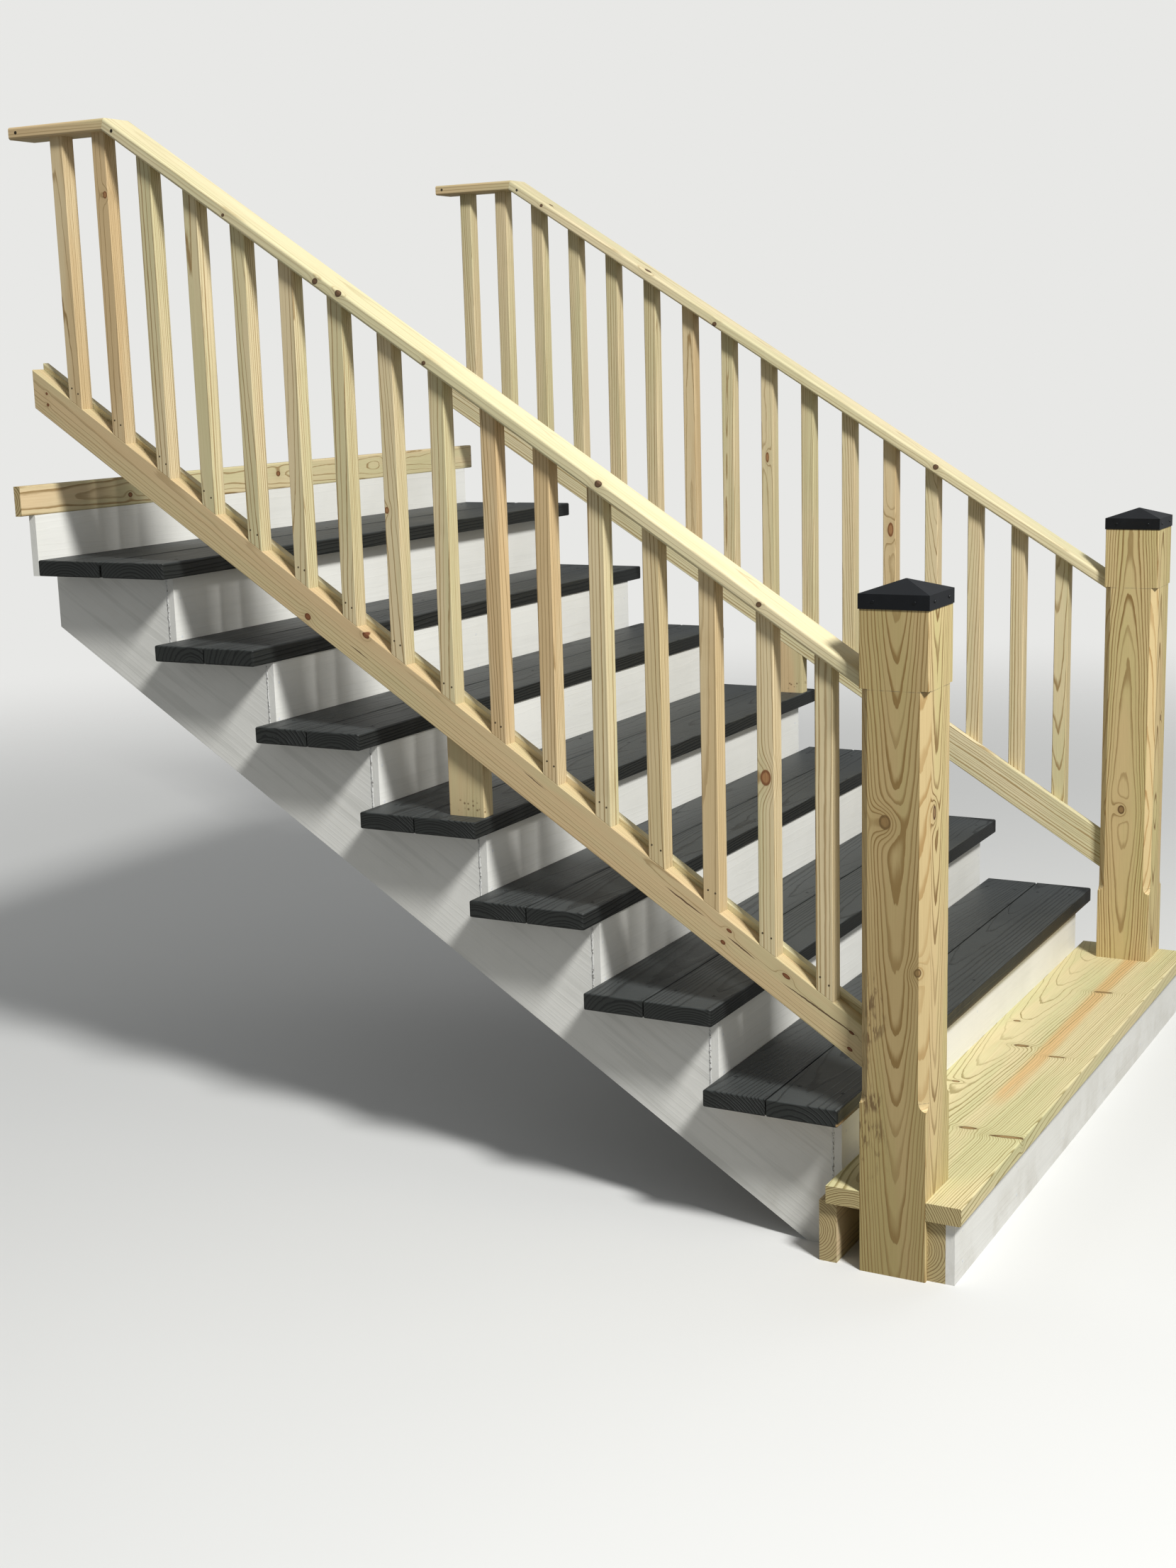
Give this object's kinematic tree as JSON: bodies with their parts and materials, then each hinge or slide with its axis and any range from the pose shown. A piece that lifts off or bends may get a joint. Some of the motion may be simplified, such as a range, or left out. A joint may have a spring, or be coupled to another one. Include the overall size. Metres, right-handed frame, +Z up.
{
  "type": "wooden deck stairs",
  "caption": "Straight wooden deck stairs with painted board treads on cut stringers, closed risers, a wide bottom step, chamfered newel posts and sloping baluster railings.",
  "frame": {"origin": "centre of the header board's flat back face, which lies against the wall or rim joist the stairs hang on", "axes": "+Y out of the header's back face into the wall, +X across the stairs, +Z up; the stairs go down towards -Y"},
  "size_m": [2.008, 2.3075, 2.381],
  "materials": {
    "tread_paint": "charcoal deck paint, matt, grain showing",
    "white_paint": "white exterior paint, satin",
    "treated_pine": "unpainted pressure-treated pine",
    "cap_metal": "black powder coat, satin"
  },
  "bodies": {
    "root": {"balusters_left": "treated_pine", "balusters_right": "treated_pine", "bottom_rail_left": "treated_pine", "bottom_rail_right": "treated_pine", "frame_back": "treated_pine", "frame_front": "treated_pine", "frame_joists": "treated_pine", "header_board": "treated_pine", "level_rail_left": "treated_pine", "level_rail_right": "treated_pine", "newel_cap_left": "cap_metal", "newel_cap_right": "cap_metal", "newel_left": "treated_pine", "newel_right": "treated_pine", "rail_strip_left": "treated_pine", "rail_strip_right": "treated_pine", "riser_1": "white_paint", "riser_2": "white_paint", "riser_3": "white_paint", "riser_4": "white_paint", "riser_5": "white_paint", "riser_6": "white_paint", "riser_7": "white_paint", "step_board": "treated_pine", "step_fascia": "white_paint", "stringer_left": "white_paint", "stringer_middle": "white_paint", "stringer_right": "white_paint", "support_block_left": "treated_pine", "support_block_right": "treated_pine", "top_rail_left": "treated_pine", "top_rail_right": "treated_pine", "top_riser": "white_paint", "tread_1": "tread_paint", "tread_2": "tread_paint", "tread_3": "tread_paint", "tread_4": "tread_paint", "tread_5": "tread_paint", "tread_6": "tread_paint", "tread_7": "tread_paint"}
  },
  "joints": []
}
